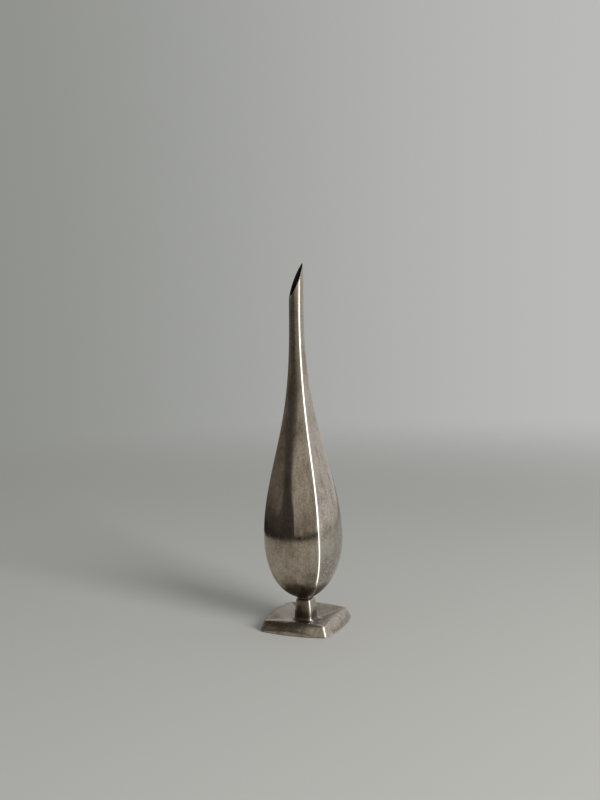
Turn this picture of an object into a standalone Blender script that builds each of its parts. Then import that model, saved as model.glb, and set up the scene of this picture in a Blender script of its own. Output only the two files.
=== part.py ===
"""Bud vase in silver-plated brass.

A pear-shaped body with four ridges and a slanted mouth stands on a short square
stem and a cast, dished foot. The body is two die-struck half shells that meet
along the two side ridges. A threaded stud holds the body down on the foot.

Metres, +Z up. The origin lies on the table, under the middle of the foot. The
ridges point along the diagonals of X and Y. The mouth slants along the diagonal
from (-X, -Y), its low side, to (+X, +Y), its tip.
"""
import math

import bmesh
import bpy
from mathutils import Matrix, Vector

# Clearance that every pair of touching pieces keeps, and the most of a face's
# bow that the rounding of a ridge may use up.
GAP = 0.0003
ROUNDING_LIMIT = 0.8

# Body. Radii are measured on a ridge; a fullness is the distance from the axis
# to the middle of a face over the distance to a ridge. NECK_DRAW is the power
# that the neck draws in by towards the tip. Above BEND_Z the neck bends towards
# the tip, by TIP_LEAN at the top.
HEIGHT = 0.2000
BELLY_Z = 0.0490
BELLY_RADIUS = 0.0223
NECK_LENGTH = 0.0280
NECK_RADIUS = 0.00418
TIP_RADIUS = 0.0032
BODY_BASE_RADIUS = 0.0050
WALL = 0.0008
RIDGE_ROUNDING = 0.0025
MOUTH_DROP = 0.0182
NECK_DRAW = 4
BEND_Z = 0.1300
TIP_LEAN = 0.0016
BEND_POWER = 3
BASE_FULLNESS = 0.89
BELLY_FULLNESS = 0.96
SHOULDER_FULLNESS = 0.82
NECK_FULLNESS = 0.92

# How far each end's tangent reaches along the body's outline curves.
BASE_REACH = 0.02
BELLY_DOWN_REACH = 0.83
BELLY_UP_REACH = 0.36
NECK_REACH = 0.555

# Foot and stem, cast in one piece.
FOOT_CORNER = 0.0274
FOOT_BOW = 0.0026
RIM_INSET = 0.0029
CREST_BOW = 0.0004
CREST_CORNER_RISE = 0.0055
CREST_SIDE_RISE = 0.00655
DISH_RISE = 0.0028
FOOT_ROUNDING = 0.0020
STEM_RADIUS = 0.0066
STEM_TOP_RADIUS = 0.0053
STEM_FULLNESS = 0.80
STEM_ROUNDING = 0.0013
STEM_HEIGHT = 0.0150
STEM_FILLET = 0.0020

# Joint ring between stem and body.
RING_THICKNESS = 0.0006
RING_SETBACK = 0.0002

# Stud, nut and washer, and the boss that takes the stud.
STUD_RADIUS = 0.0015
STUD_ENGAGEMENT = 0.0040
STUD_STAND_OUT = 0.0003
BOSS_HEIGHT = 0.0050
NUT_RADIUS = 0.0030
NUT_THICKNESS = 0.0015
WASHER_RADIUS = 0.0034
WASHER_THICKNESS = 0.0004

# Felt pad, let into the underside of the foot.
FELT_THICKNESS = 0.0006
FELT_MARGIN = 0.0030
FELT_STAND_OUT = 0.0003

# Facets.
RIDGE_STEPS = 2
SIDE_STEPS = 6
BOWL_RINGS = 9
SHOULDER_RINGS = 16
NECK_RINGS = 6
RIM_RINGS = 4
DISH_RINGS = 4
FILLET_RINGS = 3
STEM_RINGS = 3
ROUND_STEPS = 24

# Heights and radii that follow from the sizes above.
NECK_Z = HEIGHT - NECK_LENGTH
FOOT_BASE_Z = FELT_STAND_OUT
RING_Z = STEM_HEIGHT + GAP
BODY_BASE_Z = RING_Z + RING_THICKNESS + GAP
BORE_RADIUS = STUD_RADIUS + GAP
RECESS_TOP_Z = FELT_THICKNESS + GAP
STUD_BASE_Z = RECESS_TOP_Z + GAP
NUT_Z = STUD_BASE_Z + STUD_STAND_OUT
WASHER_Z = NUT_Z + NUT_THICKNESS + GAP
COUNTERBORE_TOP_Z = WASHER_Z + WASHER_THICKNESS + GAP
COUNTERBORE_RADIUS = max(WASHER_RADIUS, NUT_RADIUS) + GAP
STUD_TOP_Z = BODY_BASE_Z + STUD_ENGAGEMENT

HALF_DIAGONAL = math.sqrt(0.5)
TIP_DIRECTION = Vector((HALF_DIAGONAL, HALF_DIAGONAL, 0.0))
FRONT_DIRECTION = Vector((HALF_DIAGONAL, -HALF_DIAGONAL, 0.0))


def clear_scene():
    """Remove what the file opened with."""
    for old in list(bpy.data.objects):
        bpy.data.objects.remove(old, do_unlink=True)


def make_collection(name):
    """Add a collection under the scene's own."""
    collection = bpy.data.collections.new(name)
    bpy.context.scene.collection.children.link(collection)
    return collection


def make_material(name, colour, roughness, metallic):
    """A plain Principled finish."""
    material = bpy.data.materials.new(name)
    material.use_nodes = True
    shader = material.node_tree.nodes["Principled BSDF"]
    shader.inputs["Base Color"].default_value = (*colour, 1.0)
    shader.inputs["Roughness"].default_value = roughness
    shader.inputs["Metallic"].default_value = metallic
    return material


def add_part(name, mesh, material):
    """Put a mesh in the vase's collection as one named sub-part."""
    part = bpy.data.objects.new(name, mesh)
    if not mesh.materials:
        mesh.materials.append(material)
    vase.objects.link(part)
    return part


def add_cutter(name, mesh):
    """Put a mesh in the cutters' collection, where it isn't a sub-part."""
    cutter = bpy.data.objects.new(name, mesh)
    cutter.hide_render = True
    cutter.display_type = "WIRE"
    cutters.objects.link(cutter)
    return cutter


def cut(part, cutter, operation="DIFFERENCE"):
    """Cut a part with a cutter, or keep only what they share."""
    boolean = part.modifiers.new(cutter.name, "BOOLEAN")
    boolean.operation = operation
    boolean.solver = "EXACT"
    boolean.object = cutter


def smooth(mesh, angle=math.radians(30)):
    """Shade a mesh smooth except across sharp edges."""
    mesh.shade_smooth()
    mesh.set_sharp_from_angle(angle=angle)


def rounding_that_fits(ridge, face, rounding):
    """The rounding of a ridge, held to what leaves the faces bowed outwards."""
    largest = (face - ridge * HALF_DIAGONAL) / (1.0 - HALF_DIAGONAL)
    return min(rounding, ROUNDING_LIMIT * largest)


def bowed_square(ridge, face, rounding):
    """Points and side shares round a square with bowed sides and round corners.

    ridge is the distance from the centre to a corner and face to the middle of
    a side. Each side is one arc that runs tangent into the corner arcs. A side
    share is 0 on a corner and 1 in the middle of a side.
    """
    corner = rounding_that_fits(ridge, face, rounding)
    corner_centre = ridge - corner
    excess = corner_centre ** 2 + face ** 2 - 2 * HALF_DIAGONAL * corner_centre * face - corner ** 2
    side = excess / (2 * (face - corner) - 2 * HALF_DIAGONAL * corner_centre)
    side_centre = face - side
    across = corner_centre * HALF_DIAGONAL
    half_turn = math.atan2(across, across - side_centre)
    corner_turn = math.pi / 4 - half_turn
    points = []
    shares = []
    for quarter in range(4):
        towards_corner = math.pi / 4 + quarter * math.pi / 2
        centre = Vector((math.cos(towards_corner), math.sin(towards_corner))) * corner_centre
        for step in range(RIDGE_STEPS + 1):
            turn = towards_corner + corner_turn * (2 * step / RIDGE_STEPS - 1)
            points.append(centre + Vector((math.cos(turn), math.sin(turn))) * corner)
            shares.append(0.0)
        towards_side = towards_corner + math.pi / 4
        centre = Vector((math.cos(towards_side), math.sin(towards_side))) * side_centre
        for step in range(1, SIDE_STEPS):
            along = 2 * step / SIDE_STEPS - 1
            turn = towards_side + half_turn * along
            points.append(centre + Vector((math.cos(turn), math.sin(turn))) * side)
            shares.append(1 - along ** 2)
    return points, shares


def ring(ridge, face, rounding, ridge_z, face_z=None):
    """A bowed square in space, whose sides may arch above or below its corners."""
    if face_z is None:
        face_z = ridge_z
    points, shares = bowed_square(ridge, face, rounding)
    return [Vector((*point, ridge_z + (face_z - ridge_z) * share)) for point, share in zip(points, shares)]


def loft(name, rings, closed):
    """A skin through rings that run anticlockwise, listed from the bottom up."""
    build = bmesh.new()
    rows = [[build.verts.new(point) for point in points] for points in rings]
    count = len(rows[0])
    for lower, upper in zip(rows, rows[1:]):
        for i in range(count):
            j = (i + 1) % count
            build.faces.new((lower[i], lower[j], upper[j], upper[i]))
    if closed:
        build.faces.new(reversed(rows[0]))
        build.faces.new(rows[-1])
    mesh = bpy.data.meshes.new(name)
    build.to_mesh(mesh)
    build.free()
    smooth(mesh)
    return mesh


def turned(name, profile, material):
    """A turned piece: a profile of (radius, z) at +X, run down its outer side."""
    mesh = bpy.data.meshes.new(name)
    edges = [(i, i + 1) for i in range(len(profile) - 1)]
    if profile[0][0] > 0:
        edges.append((len(profile) - 1, 0))
    mesh.from_pydata([(radius, 0.0, z) for radius, z in profile], edges, [])
    part = add_part(name, mesh, material)
    screw = part.modifiers.new("Turn", "SCREW")
    screw.steps = ROUND_STEPS
    screw.render_steps = ROUND_STEPS
    screw.use_merge_vertices = True
    screw.merge_threshold = 0.00001
    return part


def cylinder(name, radius, bottom, top, segments=ROUND_STEPS):
    """A closed upright cylinder on the axis."""
    build = bmesh.new()
    middle = Matrix.Translation((0.0, 0.0, (bottom + top) / 2))
    bmesh.ops.create_cone(build, cap_ends=True, segments=segments, radius1=radius,
                          radius2=radius, depth=top - bottom, matrix=middle)
    mesh = bpy.data.meshes.new(name)
    build.to_mesh(mesh)
    build.free()
    smooth(mesh)
    return mesh


def block(name, size, place):
    """A closed box of the given size, turned and moved by a matrix."""
    build = bmesh.new()
    bmesh.ops.create_cube(build, size=1.0, matrix=place @ Matrix.Diagonal((*size, 1.0)))
    mesh = bpy.data.meshes.new(name)
    build.to_mesh(mesh)
    build.free()
    return mesh


def bezier(start, first, second, end, steps):
    """Points along a cubic curve, without its last point."""
    points = []
    for step in range(steps):
        t = step / steps
        u = 1 - t
        points.append(u ** 3 * start + 3 * u * u * t * first + 3 * u * t * t * second + t ** 3 * end)
    return points


def body_outline():
    """(ridge radius, z) up the body, from its base to just above the tip."""
    base = Vector((BODY_BASE_RADIUS, BODY_BASE_Z))
    belly = Vector((BELLY_RADIUS, BELLY_Z))
    neck = Vector((NECK_RADIUS, NECK_Z))
    base_handle = base + Vector(((belly.x - base.x) * BASE_REACH, 0.0))
    below_belly = belly - Vector((0.0, (belly.y - base.y) * BELLY_DOWN_REACH))
    above_belly = belly + Vector((0.0, (neck.y - belly.y) * BELLY_UP_REACH))
    below_neck = neck - Vector((0.0, (neck.y - belly.y) * NECK_REACH))
    outline = bezier(base, base_handle, below_belly, belly, BOWL_RINGS)
    outline += bezier(belly, above_belly, below_neck, neck, SHOULDER_RINGS)
    outline += [Vector((neck_radius(step / NECK_RINGS), NECK_Z + NECK_LENGTH * step / NECK_RINGS))
                for step in range(NECK_RINGS + 1)]
    outline.append(Vector((TIP_RADIUS, HEIGHT + WALL)))
    return outline


def neck_radius(share):
    """Ridge radius up the neck, which draws in towards the tip."""
    return NECK_RADIUS + (TIP_RADIUS - NECK_RADIUS) * share ** NECK_DRAW


def neck_lean(z):
    """How far the neck's middle has bent towards the tip at a height."""
    share = max(0.0, (z - BEND_Z) / (HEIGHT - BEND_Z))
    return TIP_DIRECTION * TIP_LEAN * share ** BEND_POWER


def body_fullness(z):
    """How round the body's section is at a height."""
    shoulder_z = (BELLY_Z + NECK_Z) / 2
    stations = [(BODY_BASE_Z, BASE_FULLNESS), (BELLY_Z, BELLY_FULLNESS),
                (shoulder_z, SHOULDER_FULLNESS), (NECK_Z, NECK_FULLNESS)]
    for (low, low_value), (high, high_value) in zip(stations, stations[1:]):
        if z <= high:
            share = max(0.0, (z - low) / (high - low))
            eased = share * share * (3 - 2 * share)
            return low_value + (high_value - low_value) * eased
    return NECK_FULLNESS


def make_mouth_cutter():
    """A block whose underside is the slanting plane of the mouth."""
    low_z = HEIGHT - MOUTH_DROP
    low = neck_lean(low_z) - TIP_DIRECTION * neck_radius((low_z - NECK_Z) / NECK_LENGTH)
    low.z = low_z
    tip = neck_lean(HEIGHT) + TIP_DIRECTION * TIP_RADIUS
    tip.z = HEIGHT
    along = (tip - low).normalized()
    up = FRONT_DIRECTION.cross(along)
    if up.z < 0:
        up.negate()
    side = up.cross(along)
    size = 4 * MOUTH_DROP
    middle = (low + tip) / 2 + up * size / 2
    place = Matrix.Translation(middle) @ Matrix((along, side, up)).transposed().to_4x4()
    return add_cutter("mouth_cutter", block("mouth_cutter", (size, size, size), place))


def make_half_cutter(name, direction):
    """A block on one side of the seam, clear of it by half the gap."""
    size = 2 * HEIGHT
    middle = direction * (size / 2 + GAP / 2) + Vector((0.0, 0.0, HEIGHT / 2))
    turn = Matrix.Rotation(math.pi / 4, 4, "Z")
    return add_cutter(name, block(name, (size, size, size), Matrix.Translation(middle) @ turn))


def make_body():
    """Two struck half shells that meet along the two side ridges."""
    rings = []
    for ridge, z in body_outline():
        lean = neck_lean(z)
        rings.append([point + lean for point in ring(ridge, ridge * body_fullness(z), RIDGE_ROUNDING, z)])
    mesh = loft("body_skin", rings, closed=False)
    mouth = make_mouth_cutter()
    silver = make_material("silver_plate", (0.56, 0.53, 0.49), 0.25, 1.0)
    for name, direction in (("body_front_half", FRONT_DIRECTION), ("body_back_half", -FRONT_DIRECTION)):
        half = add_part(name, mesh, silver)
        shell = half.modifiers.new("Wall", "SOLIDIFY")
        shell.thickness = WALL
        shell.offset = -1.0
        shell.use_even_offset = True
        cut(half, make_half_cutter(name + "_cutter", direction), "INTERSECT")
        cut(half, mouth)


def make_boss():
    """A turned plug that closes the bottom of the body and takes the stud."""
    inner = []
    outline = [Vector((ridge * body_fullness(z), z)) for ridge, z in body_outline()[:BOWL_RINGS]]
    for here, after in zip(outline, outline[1:]):
        along = (after - here).normalized()
        inner.append(here + Vector((-along.y, along.x)) * (WALL + GAP))
    top_z = BODY_BASE_Z + BOSS_HEIGHT
    side = [point for point in inner if point.y < top_z]
    neck = side[0].x - GAP
    profile = [(0.0, top_z), (side[-1].x, top_z)]
    profile += [(point.x, point.y) for point in reversed(side)]
    profile += [(neck, side[0].y), (neck, BODY_BASE_Z), (BORE_RADIUS, BODY_BASE_Z)]
    profile += [(BORE_RADIUS, STUD_TOP_Z + GAP), (0.0, STUD_TOP_Z + GAP)]
    brass = make_material("brass", (0.60, 0.44, 0.20), 0.35, 1.0)
    turned("body_boss", profile, brass)


def make_joint_ring():
    """The dark ring of solder between the stem and the body."""
    ridge = BODY_BASE_RADIUS - RING_SETBACK
    rings = [ring(ridge, ridge * STEM_FULLNESS, STEM_ROUNDING, z) for z in (RING_Z, RING_Z + RING_THICKNESS)]
    solder = make_material("solder", (0.10, 0.09, 0.08), 0.6, 1.0)
    part = add_part("joint_ring", loft("joint_ring", rings, closed=True), solder)
    cut(part, bore_cutter)


def foot_rings():
    """Rings up the foot's rim, over its crest, across the dish and up the stem."""
    crest_corner = FOOT_CORNER - RIM_INSET
    foot_side = FOOT_CORNER * HALF_DIAGONAL + FOOT_BOW
    crest_side = crest_corner * HALF_DIAGONAL + CREST_BOW
    rings = []
    for step in range(RIM_RINGS + 1):
        share = step / RIM_RINGS
        turn = share * math.pi / 2
        rings.append(ring(FOOT_CORNER + (crest_corner - FOOT_CORNER) * share,
                          crest_side + (foot_side - crest_side) * math.cos(turn), FOOT_ROUNDING,
                          FOOT_BASE_Z + CREST_CORNER_RISE * share,
                          FOOT_BASE_Z + CREST_SIDE_RISE * math.sin(turn)))
    dish_ridge = STEM_RADIUS + STEM_FILLET
    dish_face = STEM_RADIUS * STEM_FULLNESS + STEM_FILLET
    for step in range(1, DISH_RINGS + 1):
        share = step / (DISH_RINGS + 1)
        eased = share * share * (3 - 2 * share)
        rings.append(ring(crest_corner + (dish_ridge - crest_corner) * share,
                          crest_side + (dish_face - crest_side) * share, FOOT_ROUNDING,
                          FOOT_BASE_Z + CREST_CORNER_RISE + (DISH_RISE - CREST_CORNER_RISE) * share,
                          FOOT_BASE_Z + CREST_SIDE_RISE + (DISH_RISE - CREST_SIDE_RISE) * eased))
    for step in range(FILLET_RINGS + 1):
        turn = step / FILLET_RINGS * math.pi / 2
        shrink = STEM_FILLET * (1 - math.sin(turn))
        rings.append(ring(STEM_RADIUS + shrink, STEM_RADIUS * STEM_FULLNESS + shrink, STEM_ROUNDING,
                          FOOT_BASE_Z + DISH_RISE + STEM_FILLET * (1 - math.cos(turn))))
    fillet_top_z = FOOT_BASE_Z + DISH_RISE + STEM_FILLET
    for step in range(1, STEM_RINGS + 1):
        share = step / STEM_RINGS
        ridge = STEM_RADIUS + (STEM_TOP_RADIUS - STEM_RADIUS) * share ** 2
        rings.append(ring(ridge, ridge * STEM_FULLNESS, STEM_ROUNDING,
                          fillet_top_z + (STEM_HEIGHT - fillet_top_z) * share))
    return rings


def felt_outline(margin):
    """Corner and side distances of a pad inside the foot's outline."""
    corner = FOOT_CORNER - margin
    return corner, corner * HALF_DIAGONAL + FOOT_BOW


def make_foot():
    """The cast foot and stem, with its felt recess, counterbore and bore."""
    silver = make_material("cast_silver_plate", (0.54, 0.51, 0.47), 0.28, 1.0)
    foot = add_part("cast_foot", loft("cast_foot", foot_rings(), closed=True), silver)
    corner, side = felt_outline(FELT_MARGIN - GAP)
    recess_rings = [ring(corner, side, FOOT_ROUNDING, z) for z in (-FELT_THICKNESS, RECESS_TOP_Z)]
    cut(foot, add_cutter("recess_cutter", loft("recess_cutter", recess_rings, closed=True)))
    counterbore = cylinder("counterbore_cutter", COUNTERBORE_RADIUS, -FELT_THICKNESS, COUNTERBORE_TOP_Z)
    cut(foot, add_cutter("counterbore_cutter", counterbore))
    cut(foot, bore_cutter)


def make_felt():
    """The pad the vase stands on."""
    corner, side = felt_outline(FELT_MARGIN)
    rings = [ring(corner, side, FOOT_ROUNDING, z) for z in (0.0, FELT_THICKNESS)]
    felt = make_material("felt", (0.03, 0.05, 0.035), 0.95, 0.0)
    add_part("felt_pad", loft("felt_pad", rings, closed=True), felt)


def make_fastening():
    """The stud with its nut and washer under the stem."""
    steel = make_material("steel", (0.45, 0.45, 0.46), 0.35, 1.0)
    add_part("tie_stud", cylinder("tie_stud", STUD_RADIUS, STUD_BASE_Z, STUD_TOP_Z), steel)
    washer_top_z = WASHER_Z + WASHER_THICKNESS
    turned("stud_washer", [(BORE_RADIUS, washer_top_z), (WASHER_RADIUS, washer_top_z),
                           (WASHER_RADIUS, WASHER_Z), (BORE_RADIUS, WASHER_Z)], steel)
    nut = add_part("stud_nut", cylinder("stud_nut", NUT_RADIUS, NUT_Z, NUT_Z + NUT_THICKNESS, 6), steel)
    cut(nut, bore_cutter)


clear_scene()
vase = make_collection("bud_vase")
cutters = make_collection("cutters")
bore_cutter = add_cutter("bore_cutter", cylinder("bore_cutter", BORE_RADIUS, 0.0, STUD_TOP_Z))
make_body()
make_boss()
make_joint_ring()
make_foot()
make_felt()
make_fastening()
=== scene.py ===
import math

import bmesh
import bpy
from mathutils import Matrix, Vector


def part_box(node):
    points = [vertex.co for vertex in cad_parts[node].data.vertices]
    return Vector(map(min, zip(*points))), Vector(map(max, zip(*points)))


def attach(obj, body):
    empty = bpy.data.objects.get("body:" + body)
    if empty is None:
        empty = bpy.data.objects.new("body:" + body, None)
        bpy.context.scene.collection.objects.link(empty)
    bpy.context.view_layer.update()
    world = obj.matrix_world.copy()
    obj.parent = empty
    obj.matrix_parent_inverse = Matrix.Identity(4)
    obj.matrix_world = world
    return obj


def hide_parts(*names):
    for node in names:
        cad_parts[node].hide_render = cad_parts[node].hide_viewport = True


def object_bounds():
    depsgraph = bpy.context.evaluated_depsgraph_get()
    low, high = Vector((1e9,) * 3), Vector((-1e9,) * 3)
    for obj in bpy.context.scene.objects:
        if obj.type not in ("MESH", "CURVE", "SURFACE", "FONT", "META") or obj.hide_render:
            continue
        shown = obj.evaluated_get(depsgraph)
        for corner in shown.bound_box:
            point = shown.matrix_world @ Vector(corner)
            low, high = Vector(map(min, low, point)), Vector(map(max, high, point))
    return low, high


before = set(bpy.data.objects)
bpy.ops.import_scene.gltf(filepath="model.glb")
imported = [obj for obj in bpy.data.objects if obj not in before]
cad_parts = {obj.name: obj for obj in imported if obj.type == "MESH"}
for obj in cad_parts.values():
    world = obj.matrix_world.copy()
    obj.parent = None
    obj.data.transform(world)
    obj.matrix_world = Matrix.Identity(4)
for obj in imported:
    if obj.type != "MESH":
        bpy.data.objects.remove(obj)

cad_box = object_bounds()

# ---------------------------------------------------------------------------
# Body. Two halves struck from thin brass sheet, soldered along the side ridges,
# filed flush and silver plated, so that it shows as one skin with four ridges.
# The mouth is ground off at a slant after plating, which leaves a bright edge.
# ---------------------------------------------------------------------------
body_base_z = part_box("body_front_half")[0][2]
height = 0.2000
belly_z = 0.0490
belly_radius = 0.0223
neck_length = 0.0280
neck_radius = 0.00418
tip_radius = 0.0032
base_radius = 0.0050
base_reach = 0.02
belly_down_reach = 0.83
belly_up_reach = 0.36
neck_reach = 0.555
wall = 0.0008
lip_thinned = 0.00048
ridge_rounding = 0.0025
mouth_drop = 0.0196
bend_z = 0.1300
tip_lean = 0.0016
# Heights up the body, and how round its section is at each, from 0.71 for a square to 1 for a circle.
body_stations = [(body_base_z, 0.89), (belly_z, 0.96), ((belly_z + height - neck_length) / 2, 0.82),
                 (height - neck_length, 0.92)]
half_diagonal = math.sqrt(0.5)
towards_tip = Vector((half_diagonal, half_diagonal, 0.0))
towards_front_ridge = Vector((half_diagonal, -half_diagonal, 0.0))


def bowed_square(ridge, face, rounding, corner_steps=6, side_steps=18):
    """Points round a square with bowed sides and round corners, and each one's share along its side."""
    largest = (face - ridge * half_diagonal) / (1.0 - half_diagonal)
    corner = min(rounding, 0.8 * largest)
    corner_middle = ridge - corner
    excess = corner_middle ** 2 + face ** 2 - 2 * half_diagonal * corner_middle * face - corner ** 2
    side = excess / (2 * (face - corner) - 2 * half_diagonal * corner_middle)
    side_middle = face - side
    across = corner_middle * half_diagonal
    half_turn = math.atan2(across, across - side_middle)
    corner_turn = math.pi / 4 - half_turn
    points = []
    for quarter in range(4):
        bearing = math.pi / 4 + quarter * math.pi / 2
        middle = Vector((math.cos(bearing), math.sin(bearing))) * corner_middle
        for step in range(corner_steps + 1):
            turn = bearing + corner_turn * (2 * step / corner_steps - 1)
            points.append((middle + Vector((math.cos(turn), math.sin(turn))) * corner, 0.0))
        bearing += math.pi / 4
        middle = Vector((math.cos(bearing), math.sin(bearing))) * side_middle
        for step in range(1, side_steps):
            along = 2 * step / side_steps - 1
            turn = bearing + half_turn * along
            points.append((middle + Vector((math.cos(turn), math.sin(turn))) * side, 1 - along ** 2))
    return points


def start_skin(outline):
    """A new bmesh holding one open ring, bent from a circle to an outline."""
    skin = bmesh.new()
    ring = bmesh.ops.create_circle(skin, cap_ends=False, segments=len(outline), radius=1.0)["verts"]
    for vert, point in zip(ring, outline):
        vert.co = point
    return skin, ring


def raise_skin(skin, ring, outline):
    """Extrude the open ring once and bend the new ring to an outline."""
    place = {vert: i for i, vert in enumerate(ring)}
    edges = [skin.edges.get((ring[i - 1], vert)) for i, vert in enumerate(ring)]
    made = bmesh.ops.extrude_edge_only(skin, edges=edges)["geom"]
    raised = [None] * len(ring)
    for vert in (item for item in made if isinstance(item, bmesh.types.BMVert)):
        for edge in vert.link_edges:
            below = edge.other_vert(vert)
            if below in place:
                raised[place[below]] = vert
    for vert, point in zip(raised, outline):
        vert.co = point
    return raised


def level(ridge, face, rounding, ridge_z, face_z=None):
    """A bowed square at a height, whose sides may arch above its corners."""
    rise = 0.0 if face_z is None else face_z - ridge_z
    return [Vector((*point, ridge_z + rise * share)) for point, share in bowed_square(ridge, face, rounding)]


def cubic(start, first, second, end, steps):
    """Points along a cubic curve, without its last point."""
    for step in range(steps):
        t = step / steps
        u = 1 - t
        yield u ** 3 * start + 3 * u * u * t * first + 3 * u * t * t * second + t ** 3 * end


def fullness(z):
    """How round the body's section is at a height."""
    for (low, low_value), (high, high_value) in zip(body_stations, body_stations[1:]):
        if z <= high:
            share = max(0.0, (z - low) / (high - low))
            return low_value + (high_value - low_value) * share * share * (3 - 2 * share)
    return body_stations[-1][1]


def drawn_neck(z):
    """Ridge radius up the neck, which draws in towards the tip."""
    share = max(0.0, (z - height + neck_length) / neck_length)
    return neck_radius + (tip_radius - neck_radius) * share ** 4


def neck_lean(z):
    """How far the neck's middle has bent over towards the tip at a height."""
    return towards_tip * tip_lean * max(0.0, (z - bend_z) / (height - bend_z)) ** 3


def finish_mesh(skin, name):
    """Turn a bmesh into a smooth-shaded object in the scene."""
    mesh = bpy.data.meshes.new(name)
    skin.to_mesh(mesh)
    skin.free()
    mesh.shade_smooth()
    piece = bpy.data.objects.new(name, mesh)
    bpy.context.scene.collection.objects.link(piece)
    return piece


base = Vector((base_radius, body_base_z))
belly = Vector((belly_radius, belly_z))
neck = Vector((neck_radius, height - neck_length))
belly_rise = Vector((0.0, belly.y - base.y))
neck_rise = Vector((0.0, neck.y - belly.y))
bowl_steps = 34
shoulder_steps = 60
outline = list(cubic(base, base + Vector(((belly.x - base.x) * base_reach, 0.0)),
                     belly - belly_rise * belly_down_reach, belly, bowl_steps))
outline += cubic(belly, belly + neck_rise * belly_up_reach,
                 neck - neck_rise * neck_reach, neck, shoulder_steps)
neck_steps = 24
for step in range(neck_steps + 1):
    z = neck.y + neck_length * step / neck_steps
    outline.append(Vector((drawn_neck(z), z)))
outline.append(Vector((tip_radius, height + wall)))
body_skin, body_ring = start_skin(level(base.x, base.x * fullness(base.y), ridge_rounding, base.y))
for point in outline[1:]:
    section = level(point.x, point.x * fullness(point.y), ridge_rounding, point.y)
    body_ring = raise_skin(body_skin, body_ring, [spot + neck_lean(point.y) for spot in section])
bmesh.ops.recalc_face_normals(body_skin, faces=body_skin.faces)
if body_ring[0].normal.dot(body_ring[0].co.xy.to_3d()) < 0:
    bmesh.ops.reverse_faces(body_skin, faces=body_skin.faces)
bmesh.ops.solidify(body_skin, geom=body_skin.faces, thickness=wall)

low_z = height - mouth_drop
mouth_low = neck_lean(low_z) - towards_tip * drawn_neck(low_z) + Vector((0.0, 0.0, low_z))
mouth_tip = neck_lean(height) + towards_tip * tip_radius + Vector((0.0, 0.0, min(height, cad_box[1][2])))
mouth_up = towards_front_ridge.cross(mouth_tip - mouth_low).normalized()
if mouth_up.z < 0:
    mouth_up.negate()
whole = body_skin.verts[:] + body_skin.edges[:] + body_skin.faces[:]
bmesh.ops.bisect_plane(body_skin, geom=whole, dist=1e-7, plane_co=mouth_tip, plane_no=mouth_up,
                       clear_outer=True)
bmesh.ops.bridge_loops(body_skin, edges=[edge for edge in body_skin.edges if edge.is_boundary])
# The lip is thinned from the inside: only the mouth's inner ring moves out, and it stays on the slant.
neck_fullness = body_stations[-1][1]
on_slant = 1e-6
for vert in body_skin.verts:
    middle = neck_lean(vert.co.z)
    out = Vector((vert.co.x - middle.x, vert.co.y - middle.y, 0.0))
    inner = out.length < drawn_neck(min(vert.co.z, height)) * neck_fullness - wall / 2
    if inner and abs((vert.co - mouth_tip).dot(mouth_up)) < on_slant:
        vert.co += out.normalized() * lip_thinned
        vert.co.z -= (vert.co - mouth_tip).dot(mouth_up) / mouth_up.z
body = finish_mesh(body_skin, "vase_body")
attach(body, "root")
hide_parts("body_front_half", "body_back_half")


class Finish:
    """A Principled material whose nodes are added one by one."""

    def __init__(self, name):
        self.material = bpy.data.materials.new(name)
        self.material.use_nodes = True
        self.tree = self.material.node_tree
        self.shader = self.tree.nodes["Principled BSDF"]
        self.place = self.add("ShaderNodeTexCoord").outputs["Object"]

    def add(self, kind, inputs=(), **settings):
        """A node with its settings, and its inputs linked or set."""
        node = self.tree.nodes.new(kind)
        for key, value in settings.items():
            setattr(node, key, value)
        for key, value in dict(inputs).items():
            if isinstance(value, bpy.types.NodeSocket):
                self.tree.links.new(value, node.inputs[key])
            else:
                node.inputs[key].default_value = value
        return node

    def math(self, operation, first, second=0.0, third=0.0):
        """One step of arithmetic."""
        return self.add("ShaderNodeMath", {0: first, 1: second, 2: third}, operation=operation).outputs[0]

    def ramp(self, value, low, high, start=0.0, end=1.0):
        """A smooth step of a value from low to high."""
        inputs = {"Value": value, "From Min": low, "From Max": high, "To Min": start, "To Max": end}
        return self.add("ShaderNodeMapRange", inputs, interpolation_type="SMOOTHSTEP").outputs["Result"]

    def noise(self, stretch, scale, detail=2.0, roughness=0.5, offset=(0.0, 0.0, 0.0)):
        """Noise in metres, drawn out or squeezed along each axis."""
        mapped = self.add("ShaderNodeMapping", {"Vector": self.place, "Scale": stretch, "Location": offset})
        inputs = {"Vector": mapped.outputs["Vector"], "Scale": scale, "Detail": detail,
                  "Roughness": roughness}
        return self.add("ShaderNodeTexNoise", inputs).outputs["Fac"]

    def blend(self, share, first, second):
        """Mix two colours by a share."""
        node = self.add("ShaderNodeMix", data_type="RGBA")
        for key, value in ((0, share), (6, first), (7, second)):
            if isinstance(value, bpy.types.NodeSocket):
                self.tree.links.new(value, node.inputs[key])
            else:
                node.inputs[key].default_value = (*value, 1.0) if key else value
        return node.outputs[2]

    def link(self, output, name):
        """Feed a socket of the shader."""
        self.tree.links.new(output, self.shader.inputs[name])

    def relief(self, height, depth, under=None):
        """A bump of a height field, depth metres deep."""
        inputs = {"Height": height, "Distance": depth, "Strength": 1.0}
        if under is not None:
            inputs["Normal"] = under
        return self.add("ShaderNodeBump", inputs).outputs["Normal"]

    def spot(self, place, inner, outer):
        """1 within a distance of a place, falling to 0 further out."""
        away = self.add("ShaderNodeVectorMath", {0: self.place, 1: place}, operation="DISTANCE")
        return self.ramp(away.outputs["Value"], inner, outer, 1.0, 0.0)


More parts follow.
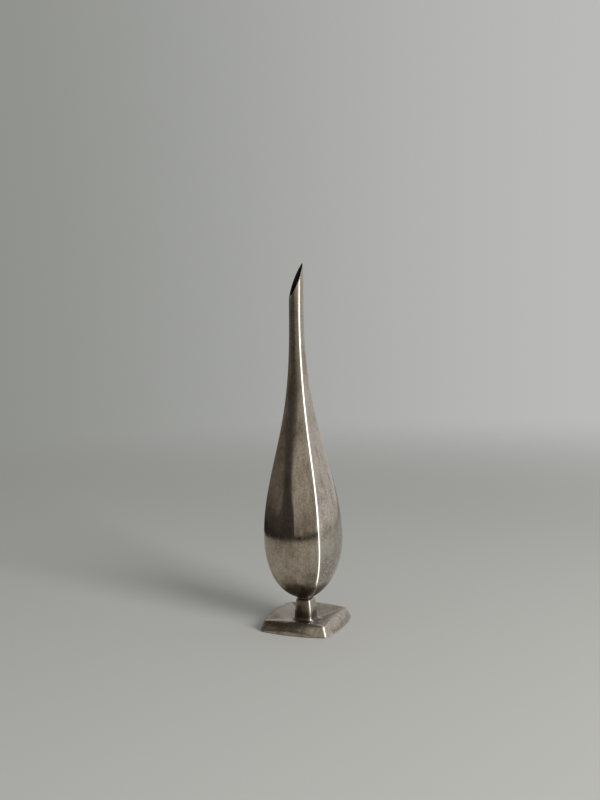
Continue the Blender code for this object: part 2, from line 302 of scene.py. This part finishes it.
def aged_silver(name, stains_and_shade):
    """Old silver plate: wiped lengthwise, filmed and stained with tarnish, rubbed clean along the ridges,
    with the painted shade given along with the stains.
    """
    finish = Finish(name)
    finish.shader.inputs["Metallic"].default_value = 1.0
    along_x, along_y, up = finish.add("ShaderNodeSeparateXYZ", {0: finish.place}).outputs
    wipes = finish.noise((1.0, 1.0, 0.035), 2400.0, 4.0, 0.7)
    streaks = finish.noise((1.0, 1.0, 0.12), 420.0, 4.0, 0.65, (0.0, 0.02, 0.0))
    film = finish.noise((1.0, 1.0, 0.6), 110.0, 6.0, 0.66, (0.03, 0.01, 0.0))
    mottle = finish.noise((1.0, 1.0, 0.8), 1100.0, 3.0, 0.6)

    # The ridges stand on both diagonals, and the front one, at plus x and minus y, is handled the most.
    apart = finish.math("ABSOLUTE", finish.math("SUBTRACT", finish.math("ABSOLUTE", along_x),
                                                finish.math("ABSOLUTE", along_y)))
    off_ridge = finish.ramp(apart, 0.0002, 0.0026, 0.1, 1.0)
    rubbed = finish.math("MULTIPLY", finish.ramp(apart, 0.0002, 0.0009, 1.0, 0.0),
                         finish.ramp(finish.math("SUBTRACT", along_x, along_y), 0.002, 0.006))

    tarnish = finish.math("ADD", finish.ramp(film, 0.42, 0.66, 0.0, 0.55),
                          finish.ramp(streaks, 0.40, 0.68, 0.0, 0.40))
    tarnish = finish.math("ADD", tarnish, finish.ramp(mottle, 0.42, 0.62, 0.0, 0.45))
    tarnish = finish.math("MULTIPLY", tarnish, off_ridge)
    clean = finish.blend(wipes, (0.60, 0.55, 0.50), (0.74, 0.70, 0.65))
    clean = finish.blend(rubbed, clean, (0.92, 0.90, 0.87))
    brown = finish.blend(streaks, (0.30, 0.255, 0.20), (0.44, 0.375, 0.31))
    colour = finish.blend(tarnish, clean, brown)

    # Dull where the film is thick, up the neck, and low down by the joint.
    dull = finish.math("ADD", finish.ramp(film, 0.40, 0.72, 0.0, 0.08),
                       finish.ramp(up, 0.060, 0.120, 0.0, 0.08))
    dull = finish.math("ADD", dull, finish.ramp(up, 0.020, 0.030, 0.14, 0.0))
    # Stains, and the painted shade given with them, are laid over the colour and dull it.
    for place, inner, outer, amount, stain_and_shade_colour in stains_and_shade(finish, up):
        edge = finish.math("ADD", finish.spot(place, inner, outer) if outer else inner,
                           finish.ramp(film, 0.3, 0.7, -0.25, 0.25))
        share = finish.math("MULTIPLY", finish.ramp(edge, 0.25, 0.75), amount)
        share = finish.math("MULTIPLY", share, off_ridge)
        colour = finish.blend(share, colour, stain_and_shade_colour)
        dull = finish.math("ADD", dull, finish.math("MULTIPLY", share, 0.12))

    # Fine dark specks, thickest on the right of the bowl.
    specks = finish.ramp(finish.noise((1.0, 1.0, 1.0), 1300.0, 2.0, 0.6, (0.0, 0.0, 0.04)), 0.54, 0.62)
    speckled = finish.math("ADD", finish.spot((0.017, -0.009, 0.035), 0.003, 0.012), 0.10)
    specks = finish.math("MULTIPLY", finish.math("MULTIPLY", specks, speckled), off_ridge)
    colour = finish.blend(specks, colour, (0.10, 0.085, 0.07))

    finish.link(colour, "Base Color")
    finish.link(finish.math("ADD", dull, finish.ramp(wipes, 0.3, 0.7, 0.06, 0.13)), "Roughness")
    wiped = finish.relief(wipes, 0.0000010)
    finish.link(finish.relief(film, 0.000030, wiped), "Normal")
    return finish


def body_stains_and_shade(finish, up):
    """Painted shade low down in the bowl, where it mirrors the shaded top of the foot, with brown stains on
    its front and left, and an olive neck.

    Each stain or patch of painted shade is a place, its clear and faded distances, its amount and its
    colour.
    One without a place gives its own share instead of the distances.
    """
    # Painted shade: the bottom of the bowl is darkened where it mirrors the shaded top of the foot.
    yield None, finish.ramp(up, 0.019, 0.030, 1.1, 0.0), None, 0.88, (0.15, 0.13, 0.10)
    yield (-0.003, -0.015, 0.027), 0.001, 0.010, 0.48, (0.22, 0.155, 0.105)
    yield (0.009, -0.014, 0.029), 0.001, 0.010, 0.40, (0.22, 0.195, 0.16)
    yield (-0.020, -0.006, 0.040), 0.003, 0.013, 0.40, (0.33, 0.25, 0.17)
    yield None, finish.ramp(up, 0.118, 0.165), None, 0.35, (0.40, 0.37, 0.29)


body_silver = aged_silver("silver_plate", body_stains_and_shade)

ground_edge = Finish("ground_mouth_edge")
ground_edge.shader.inputs["Metallic"].default_value = 1.0
grind = ground_edge.noise((1.0, 1.0, 1.0), 900.0)
ground_edge.link(ground_edge.blend(grind, (0.62, 0.57, 0.50), (0.74, 0.70, 0.64)), "Base Color")
fine_grind = ground_edge.noise((1.0, 1.0, 1.0), 2500.0)
ground_edge.link(ground_edge.ramp(fine_grind, 0.3, 0.7, 0.25, 0.4), "Roughness")

# The inside is coloured near black, with scale-like marks.
dark_inside = Finish("near_black_inside")
dark_inside.shader.inputs["Metallic"].default_value = 0.6
scale_marks = dark_inside.noise((1.0, 1.0, 0.5), 300.0, 4.0)
dark_inside.link(dark_inside.blend(scale_marks, (0.012, 0.010, 0.008), (0.05, 0.04, 0.03)), "Base Color")
fine_scale = dark_inside.noise((1.0, 1.0, 1.0), 800.0)
dark_inside.link(dark_inside.ramp(fine_scale, 0.3, 0.7, 0.5, 0.8), "Roughness")

for finish in (body_silver, dark_inside, ground_edge):
    body.data.materials.append(finish.material)
for face in body.data.polygons:
    outward = Vector((*face.center.xy, 0.0)).dot(face.normal)
    if abs(face.normal.dot(mouth_up)) > 0.999 and abs((face.center - mouth_tip).dot(mouth_up)) < 0.00001:
        face.material_index = 2
    elif outward < 0.0:
        face.material_index = 1

# ---------------------------------------------------------------------------
# Foot and stem. One brass casting, silver plated: a square foot with bowed sides,
# a rim that leans in to a raised crest, a dish that falls to the square stem, and
# underneath a recess for the felt and a counterbore for the nut.
# ---------------------------------------------------------------------------
foot_base_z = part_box("cast_foot")[0][2]
stem_top_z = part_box("cast_foot")[1][2]
foot_corner = 0.0274
foot_bow = 0.0026
rim_inset = 0.0029
crest_bow = 0.0004
crest_corner_rise = 0.0055
crest_side_rise = 0.00655
dish_rise = 0.0028
foot_rounding = 0.0020
stem_radius = 0.0066
stem_top_radius = 0.0053
stem_fullness = 0.80
stem_rounding = 0.0013
stem_fillet = 0.0020
bore_radius = 0.0018
counterbore_radius = 0.0037
counterbore_top_z = 0.0040
felt_clearance = 0.0003
recess_top_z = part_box("felt_pad")[1][2] + felt_clearance
felt_margin = 0.0030
foot_edge_break = 0.0003


def circle(radius, z):
    """A round ring with as many points as a bowed square."""
    return [Vector((*point.normalized() * radius, z)) for point, share in bowed_square(1.0, 0.9, 0.1)]


def foot_level(corner_inset, z, rounding=foot_rounding):
    """The foot's outline, drawn in by an even margin."""
    corner = foot_corner - corner_inset
    return level(corner, corner * half_diagonal + foot_bow, rounding, z)


crest_corner = foot_corner - rim_inset
foot_side = foot_corner * half_diagonal + foot_bow
crest_side = crest_corner * half_diagonal + crest_bow
recess_margin = felt_margin - felt_clearance
foot_levels = [circle(bore_radius, stem_top_z), circle(bore_radius, counterbore_top_z),
               circle(counterbore_radius, counterbore_top_z), circle(counterbore_radius, recess_top_z),
               foot_level(recess_margin, recess_top_z), foot_level(recess_margin, foot_base_z),
               foot_level(foot_edge_break, foot_base_z)]
rim_steps = 14
for step in range(rim_steps + 1):
    share = (step + 0.6) / (rim_steps + 1.0)
    turn = share * math.pi / 2
    foot_levels.append(level(foot_corner - rim_inset * share,
                             crest_side + (foot_side - crest_side) * math.cos(turn), foot_rounding,
                             foot_base_z + crest_corner_rise * share,
                             foot_base_z + crest_side_rise * math.sin(turn)))
dish_ridge = stem_radius + stem_fillet
dish_face = stem_radius * stem_fullness + stem_fillet
dish_steps = 20
for step in range(dish_steps):
    share = (step + 0.12) / dish_steps
    eased = share * share * (3 - 2 * share)
    foot_levels.append(level(crest_corner + (dish_ridge - crest_corner) * share,
                             crest_side + (dish_face - crest_side) * share, foot_rounding,
                             foot_base_z + crest_corner_rise + (dish_rise - crest_corner_rise) * share,
                             foot_base_z + crest_side_rise + (dish_rise - crest_side_rise) * eased))
fillet_steps = 6
for step in range(fillet_steps + 1):
    turn = step / fillet_steps * math.pi / 2
    shrink = stem_fillet * (1 - math.sin(turn))
    foot_levels.append(level(stem_radius + shrink, stem_radius * stem_fullness + shrink, stem_rounding,
                             foot_base_z + dish_rise + stem_fillet * (1 - math.cos(turn))))
fillet_top_z = foot_base_z + dish_rise + stem_fillet
stem_steps = 10
for step in range(1, stem_steps + 1):
    share = step / stem_steps
    ridge = stem_radius + (stem_top_radius - stem_radius) * share ** 2
    foot_levels.append(level(ridge, ridge * stem_fullness, stem_rounding,
                             fillet_top_z + (stem_top_z - fillet_top_z) * share))
foot_skin, first_ring = start_skin(foot_levels[0])
foot_ring = first_ring
for outline in foot_levels[1:]:
    foot_ring = raise_skin(foot_skin, foot_ring, outline)
bmesh.ops.bridge_loops(foot_skin, edges=[edge for edge in foot_skin.edges if edge.is_boundary])
bmesh.ops.recalc_face_normals(foot_skin, faces=foot_skin.faces)
foot = finish_mesh(foot_skin, "vase_foot")
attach(foot, "root")
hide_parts("cast_foot")


def foot_stains_and_shade(finish, up):
    """A purple-brown stain beside the stem that is partly painted reflection of the body's dark underside,
    painted shade round the foot of the stem and on its left face, and a grey film on the left of the dish.
    """
    # Partly a purple-brown stain, partly a painted reflection of the body's dark underside on the stem's
    # right face.
    yield (0.0058, -0.0004, 0.0052), 0.0026, 0.0052, 0.90, (0.15, 0.115, 0.115)
    # Painted shade round the foot of the stem, under the body.
    yield (-0.0010, -0.0040, 0.0055), 0.0040, 0.0085, 0.55, (0.15, 0.125, 0.095)
    # Painted shade on the stem's left face, which mirrors the dark room.
    yield (-0.0036, -0.0042, 0.0085), 0.0020, 0.0050, 0.80, (0.11, 0.095, 0.070)
    yield (-0.0170, 0.0030, 0.0050), 0.0080, 0.0170, 0.70, (0.34, 0.32, 0.29)


foot_silver = aged_silver("cast_silver_plate", foot_stains_and_shade)
foot.data.materials.append(foot_silver.material)

# ---------------------------------------------------------------------------
# Joint ring. A ring of solder, run between the stem and the body and gone dark,
# which stands a little inside both.
# ---------------------------------------------------------------------------
ring_low, ring_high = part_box("joint_ring")
ring_set_in = 0.0002
ring_radius = base_radius - ring_set_in
ring_swell = 0.00006
ring_levels = [circle(bore_radius, ring_high[2]), circle(bore_radius, ring_low[2])]
ring_steps = 6
for step in range(ring_steps + 1):
    share = step / ring_steps
    ridge = ring_radius - ring_swell * (1 - math.sin(share * math.pi))
    ring_levels.append(level(ridge, ridge * stem_fullness, stem_rounding,
                             ring_low[2] + (ring_high[2] - ring_low[2]) * share))
ring_skin, solder_ring = start_skin(ring_levels[0])
for outline in ring_levels[1:]:
    solder_ring = raise_skin(ring_skin, solder_ring, outline)
bmesh.ops.bridge_loops(ring_skin, edges=[edge for edge in ring_skin.edges if edge.is_boundary])
bmesh.ops.recalc_face_normals(ring_skin, faces=ring_skin.faces)
joint_ring = finish_mesh(ring_skin, "vase_joint_ring")
solder = Finish("old_solder")
solder.shader.inputs["Metallic"].default_value = 0.8
crust = solder.noise((1.0, 1.0, 1.0), 900.0, 3.0)
solder.link(solder.blend(crust, (0.10, 0.088, 0.068), (0.24, 0.21, 0.165)), "Base Color")
solder.link(solder.ramp(solder.noise((1.0, 1.0, 1.0), 1800.0), 0.3, 0.7, 0.45, 0.7), "Roughness")
joint_ring.data.materials.append(solder.material)
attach(joint_ring, "root")
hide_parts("joint_ring")

# ---------------------------------------------------------------------------
# Fastening. A turned brass boss in the bottom of the body takes a steel stud,
# which a nut and a washer pull tight from the underside of the foot.
# ---------------------------------------------------------------------------
turned_brass = Finish("turned_brass")
turned_brass.shader.inputs["Metallic"].default_value = 1.0
turning = turned_brass.noise((0.02, 0.02, 1.0), 9000.0, 2.0)
brass_tone = turned_brass.noise((1.0, 1.0, 1.0), 400.0)
turned_brass.link(turned_brass.blend(brass_tone, (0.50, 0.35, 0.15), (0.66, 0.50, 0.26)), "Base Color")
turned_brass.link(turned_brass.ramp(turning, 0.3, 0.7, 0.25, 0.45), "Roughness")
turned_brass.link(turned_brass.relief(turning, 0.000005), "Normal")
zinc = Finish("zinc_plated_steel")
zinc.shader.inputs["Metallic"].default_value = 1.0
spangle = zinc.noise((1.0, 1.0, 1.0), 700.0, 3.0)
zinc.link(zinc.blend(spangle, (0.40, 0.40, 0.42), (0.56, 0.56, 0.55)), "Base Color")
zinc.link(zinc.ramp(zinc.noise((1.0, 1.0, 1.0), 1500.0), 0.3, 0.7, 0.3, 0.5), "Roughness")
for name, finish in (("body_boss", turned_brass), ("tie_stud", zinc), ("stud_washer", zinc),
                     ("stud_nut", zinc)):
    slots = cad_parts[name].data.materials
    slots.clear()
    slots.append(finish.material)

# ---------------------------------------------------------------------------
# Felt pad. Pressed wool felt, die cut and glued into the recess under the foot,
# so that the metal stands just clear of the table.
# ---------------------------------------------------------------------------
felt_low, felt_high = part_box("felt_pad")
felt_rounding = 0.00015
felt_levels = [foot_level(felt_margin + felt_rounding, felt_high[2]),
               foot_level(felt_margin, felt_high[2] - felt_rounding),
               foot_level(felt_margin, felt_low[2] + felt_rounding),
               foot_level(felt_margin + felt_rounding, felt_low[2])]
felt_skin, felt_ring = start_skin(felt_levels[0])
for outline in felt_levels[1:]:
    felt_ring = raise_skin(felt_skin, felt_ring, outline)
bmesh.ops.holes_fill(felt_skin, edges=felt_skin.edges)
bmesh.ops.recalc_face_normals(felt_skin, faces=felt_skin.faces)
felt_pad = finish_mesh(felt_skin, "vase_felt_pad")
felt = Finish("pressed_wool_felt")
fibres = felt.noise((1.0, 1.0, 1.0), 2200.0, 6.0, 0.8)
clumps = felt.noise((1.0, 1.0, 1.0), 350.0, 3.0)
under_fibres = felt.blend(clumps, (0.010, 0.022, 0.014), (0.02, 0.045, 0.03))
felt.link(felt.blend(fibres, under_fibres, (0.06, 0.10, 0.07)), "Base Color")
felt.link(felt.ramp(clumps, 0.2, 0.8, 0.85, 1.0), "Roughness")
felt.shader.inputs["Sheen Weight"].default_value = 0.3
felt.link(felt.relief(fibres, 0.00008), "Normal")
felt_pad.data.materials.append(felt.material)
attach(felt_pad, "root")
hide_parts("felt_pad")

# ---------------------------------------------------------------------------
# Camera, floor and light: the vase stands on a pale floor by a tall window. The
# metal mirrors more than shows: a table's edge, a dark card and the room's walls.
# ---------------------------------------------------------------------------
camera_bearing = math.radians(23.3)
camera_distance = 0.527
camera_sideways = 0.0007
camera_height = 0.1757
camera_pitch = math.radians(5.43)
camera_roll = math.radians(-1.95)
towards_camera = Vector((math.sin(camera_bearing), -math.cos(camera_bearing), 0.0))
to_the_right = Vector((math.cos(camera_bearing), math.sin(camera_bearing), 0.0))
camera_data = bpy.data.cameras.new("camera")
camera_data.sensor_fit = "AUTO"
camera_data.sensor_width = 36.0
camera_data.lens = 43.6
camera_data.clip_start = 0.01
camera = bpy.data.objects.new("camera", camera_data)
bpy.context.scene.collection.objects.link(camera)
camera_place = (towards_camera * camera_distance + to_the_right * camera_sideways
                + Vector((0.0, 0.0, camera_height)))
camera.matrix_world = (Matrix.Translation(camera_place) @ Matrix.Rotation(camera_bearing, 4, "Z")
                       @ Matrix.Rotation(math.pi / 2 - camera_pitch, 4, "X")
                       @ Matrix.Rotation(camera_roll, 4, "Z"))
bpy.context.scene.camera = camera

floor_paint = (0.74, 0.745, 0.72)
floor_skin = bmesh.new()
bmesh.ops.create_circle(floor_skin, cap_ends=True, segments=96, radius=3.0)
floor = finish_mesh(floor_skin, "floor")
floor_finish = bpy.data.materials.new("pale_floor")
floor_finish.use_nodes = True
nodes = floor_finish.node_tree.nodes
links = floor_finish.node_tree.links
nodes.clear()


def add_node(kind, inputs=(), **settings):
    """A node of the floor, and later of the room, with its settings, and its inputs linked or set."""
    node = nodes.new(kind)
    for key, value in settings.items():
        setattr(node, key, value)
    for key, value in dict(inputs).items():
        if isinstance(value, bpy.types.NodeSocket):
            links.new(value, node.inputs[key])
        else:
            node.inputs[key].default_value = value
    return node


def work_out(operation, first, second):
    """One step of arithmetic."""
    return add_node("ShaderNodeMath", {0: first, 1: second}, operation=operation).outputs[0]


def step_up(value, low, high):
    """0 at low and 1 at high, smoothly. With low above high it steps down."""
    inputs = {"Value": value, "From Min": low, "From Max": high}
    return add_node("ShaderNodeMapRange", inputs, interpolation_type="SMOOTHSTEP").outputs["Result"]


def paint_over(share, under, over):
    """One colour painted over another by a share."""
    inputs = {0: share}
    for key, colour in ((6, under), (7, over)):
        inputs[key] = colour if isinstance(colour, bpy.types.NodeSocket) else (*colour, 1.0)
    return add_node("ShaderNodeMix", inputs, data_type="RGBA").outputs[2]


def turned_to_camera(vector):
    """A place or a direction turned so that minus y is the camera's side."""
    inputs = {"Vector": vector, "Angle": -camera_bearing}
    return add_node("ShaderNodeVectorRotate", inputs, rotation_type="Z_AXIS").outputs["Vector"]


def bearing_of(turned):
    """The bearing of a turned place or direction: 0 towards the camera's side, and plus to the right."""
    parts = add_node("ShaderNodeSeparateXYZ", {0: turned}).outputs
    return work_out("ARCTAN2", parts[0], work_out("MULTIPLY", parts[1], -1.0))


def stretch(bearing, start, end, start_blur, end_blur):
    """1 between two bearings, each blurred by so many degrees either side, and 0 elsewhere."""
    return work_out("MULTIPLY",
                    step_up(bearing, math.radians(start - start_blur), math.radians(start + start_blur)),
                    step_up(bearing, math.radians(end + end_blur), math.radians(end - end_blur)))


# What only the metal mirrors: on the left and in front the floor is a dim table that ends
# about 0.3 m away, and on the right a strip of it glows as a painted pool of window light.
table_paint = (0.62, 0.585, 0.51)
table_middle = (-0.006, -0.034, 0.0)
ray = add_node("ShaderNodeLightPath").outputs
place = add_node("ShaderNodeTexCoord").outputs["Object"]
distance = add_node("ShaderNodeVectorMath", {0: place}, operation="LENGTH").outputs["Value"]
turned_place = turned_to_camera(place)
floor_bearing = bearing_of(turned_place)
on_left = work_out("MULTIPLY", step_up(floor_bearing, math.radians(34.0), math.radians(26.0)),
                   ray["Is Glossy Ray"])
from_middle = add_node("ShaderNodeVectorMath", {0: turned_place, 1: table_middle},
                       operation="DISTANCE").outputs["Value"]
beyond = work_out("MULTIPLY", step_up(from_middle, 0.273, 0.277), on_left)
gone = work_out("MAXIMUM", beyond, step_up(distance, 0.26, 1.00))
# Painted light: the strip glows by its own emission instead of being lit by the window lamp.
strip = work_out("MULTIPLY", stretch(floor_bearing, 33.0, 54.0, 3.0, 4.0), ray["Is Glossy Ray"])
strip = work_out("MULTIPLY", strip, step_up(distance, 0.022, 0.032))
matte = add_node("ShaderNodeBsdfDiffuse", {"Color": paint_over(on_left, floor_paint, table_paint)})
painted_window_glow = add_node("ShaderNodeEmission", {"Color": (1.0, 0.97, 0.93, 1.0), "Strength": 1.7})
clear = add_node("ShaderNodeBsdfTransparent")
lit = add_node("ShaderNodeMixShader", {"Fac": strip, 1: matte.outputs[0], 2: painted_window_glow.outputs[0]})
mixed = add_node("ShaderNodeMixShader", {"Fac": gone, 1: lit.outputs[0], 2: clear.outputs[0]})
links.new(mixed.outputs[0], add_node("ShaderNodeOutputMaterial").inputs["Surface"])
floor.data.materials.append(floor_finish)

window_data = bpy.data.lights.new("window", "AREA")
window_data.shape = "RECTANGLE"
window_data.size = 0.50
window_data.size_y = 0.95
window_data.energy = 14.0
window_data.color = (1.0, 0.985, 0.955)
window = bpy.data.objects.new("window", window_data)
bpy.context.scene.collection.objects.link(window)
window.visible_glossy = False
window_bearing = camera_bearing + math.radians(43.0)
window_distance = 1.2
window_slope = 0.36
window_aim = Vector((0.0, 0.0, 0.10))
towards_window = Vector((math.sin(window_bearing), -math.cos(window_bearing), window_slope))
window.location = towards_window * window_distance
window.rotation_euler = (window_aim - window.location).to_track_quat("-Z", "Y").to_euler()

# A dark card on the left, narrower and further round towards its top, which only the metal
# mirrors. Each row is a height, and the bearings of its left and right edges in degrees.
card_distance = 0.55
card_rows = [(-0.02, -112.0, -29.0), (0.03, -100.0, -29.0), (0.08, -72.0, -30.0), (0.14, -63.0, -32.0),
             (0.20, -61.0, -38.0), (0.28, -62.0, -45.0), (0.42, -64.0, -47.0)]
card_skin = bmesh.new()
bmesh.ops.create_grid(card_skin, x_segments=24, y_segments=len(card_rows) - 1, size=0.5)
for vert in card_skin.verts:
    card_height, card_left, card_right = card_rows[round((vert.co.y + 0.5) * (len(card_rows) - 1))]
    turn = camera_bearing + math.radians(card_left + (card_right - card_left) * (vert.co.x + 0.5))
    vert.co = (card_distance * math.sin(turn), -card_distance * math.cos(turn), card_height)
card = finish_mesh(card_skin, "black_card")
card_paint = bpy.data.materials.new("black_card")
card_paint.use_nodes = True
card_shader = card_paint.node_tree.nodes["Principled BSDF"]
card_shader.inputs["Base Color"].default_value = (0.085, 0.078, 0.068, 1.0)
card_shader.inputs["Roughness"].default_value = 1.0
card.data.materials.append(card_paint)
card.visible_camera = False
card.visible_diffuse = False
card.visible_shadow = False

world = bpy.data.worlds.new("studio")
world.use_nodes = True
bpy.context.scene.world = world
nodes = world.node_tree.nodes
links = world.node_tree.links
nodes.clear()
heading = turned_to_camera(add_node("ShaderNodeTexCoord").outputs["Generated"])
heading_parts = add_node("ShaderNodeSeparateXYZ", {0: heading}).outputs
sideways = heading_parts[0]
upwards = heading_parts[2]
bearing = bearing_of(heading)
# The room that the metal mirrors, dimmer behind on the left than on the right. Each stretch
# of its walls goes from and to a bearing in degrees, with a blur and a colour.
walls = [(-150.0, -45.0, 5.0, (0.135, 0.118, 0.096)), (-45.0, 27.0, 3.0, (0.27, 0.24, 0.20)),
         (26.0, 62.0, 4.0, (1.0, 0.97, 0.93)), (32.0, 56.0, 2.0, (2.7, 2.62, 2.5)),
         (62.0, 96.0, 6.0, (0.62, 0.59, 0.57))]
room = paint_over(step_up(sideways, -0.30, 0.40), (0.27, 0.265, 0.245), (0.58, 0.56, 0.54))
for start, end, blur, colour in walls:
    room = paint_over(stretch(bearing, start, end, blur, blur), room, colour)
# The wall in front grows lighter with height, and the one on the left darkens near the floor.
glow = work_out("MULTIPLY", stretch(bearing, -45.0, 27.0, 7.0, 3.0), step_up(upwards, -0.02, 0.30))
room = paint_over(glow, room, (0.42, 0.39, 0.33))
dim = work_out("MULTIPLY", step_up(upwards, 0.14, -0.10),
               step_up(bearing, math.radians(-29.0), math.radians(-36.0)))
room = paint_over(work_out("MULTIPLY", dim, 0.6), room, (0.02, 0.018, 0.016))
# The ceiling, the dark upper part of the left wall, and the shade past the table's edge.
room = paint_over(step_up(upwards, 0.62, 0.86), room, (0.34, 0.33, 0.31))
upper_left = work_out("MULTIPLY", stretch(bearing, -140.0, -32.0, 10.0, 4.0), step_up(upwards, 0.36, 0.46))
room = paint_over(upper_left, room, (0.048, 0.043, 0.035))
room = paint_over(step_up(upwards, -0.112, -0.124), room, (0.025, 0.022, 0.020))
# The camera sees a backdrop painted darker on the left and lighter on the right, as painted window light,
# and everything else gets soft even light.
ray = add_node("ShaderNodeLightPath").outputs
backdrop = paint_over(step_up(sideways, -0.38, 0.38), (0.27, 0.275, 0.258), (0.50, 0.505, 0.495))
plain = paint_over(ray["Is Camera Ray"], (0.27, 0.27, 0.265), backdrop)
seen = paint_over(ray["Is Glossy Ray"], plain, room)
background = add_node("ShaderNodeBackground", {"Color": seen, "Strength": 1.0})
links.new(background.outputs[0], add_node("ShaderNodeOutputWorld").inputs["Surface"])
bpy.context.scene.view_settings.view_transform = "Standard"
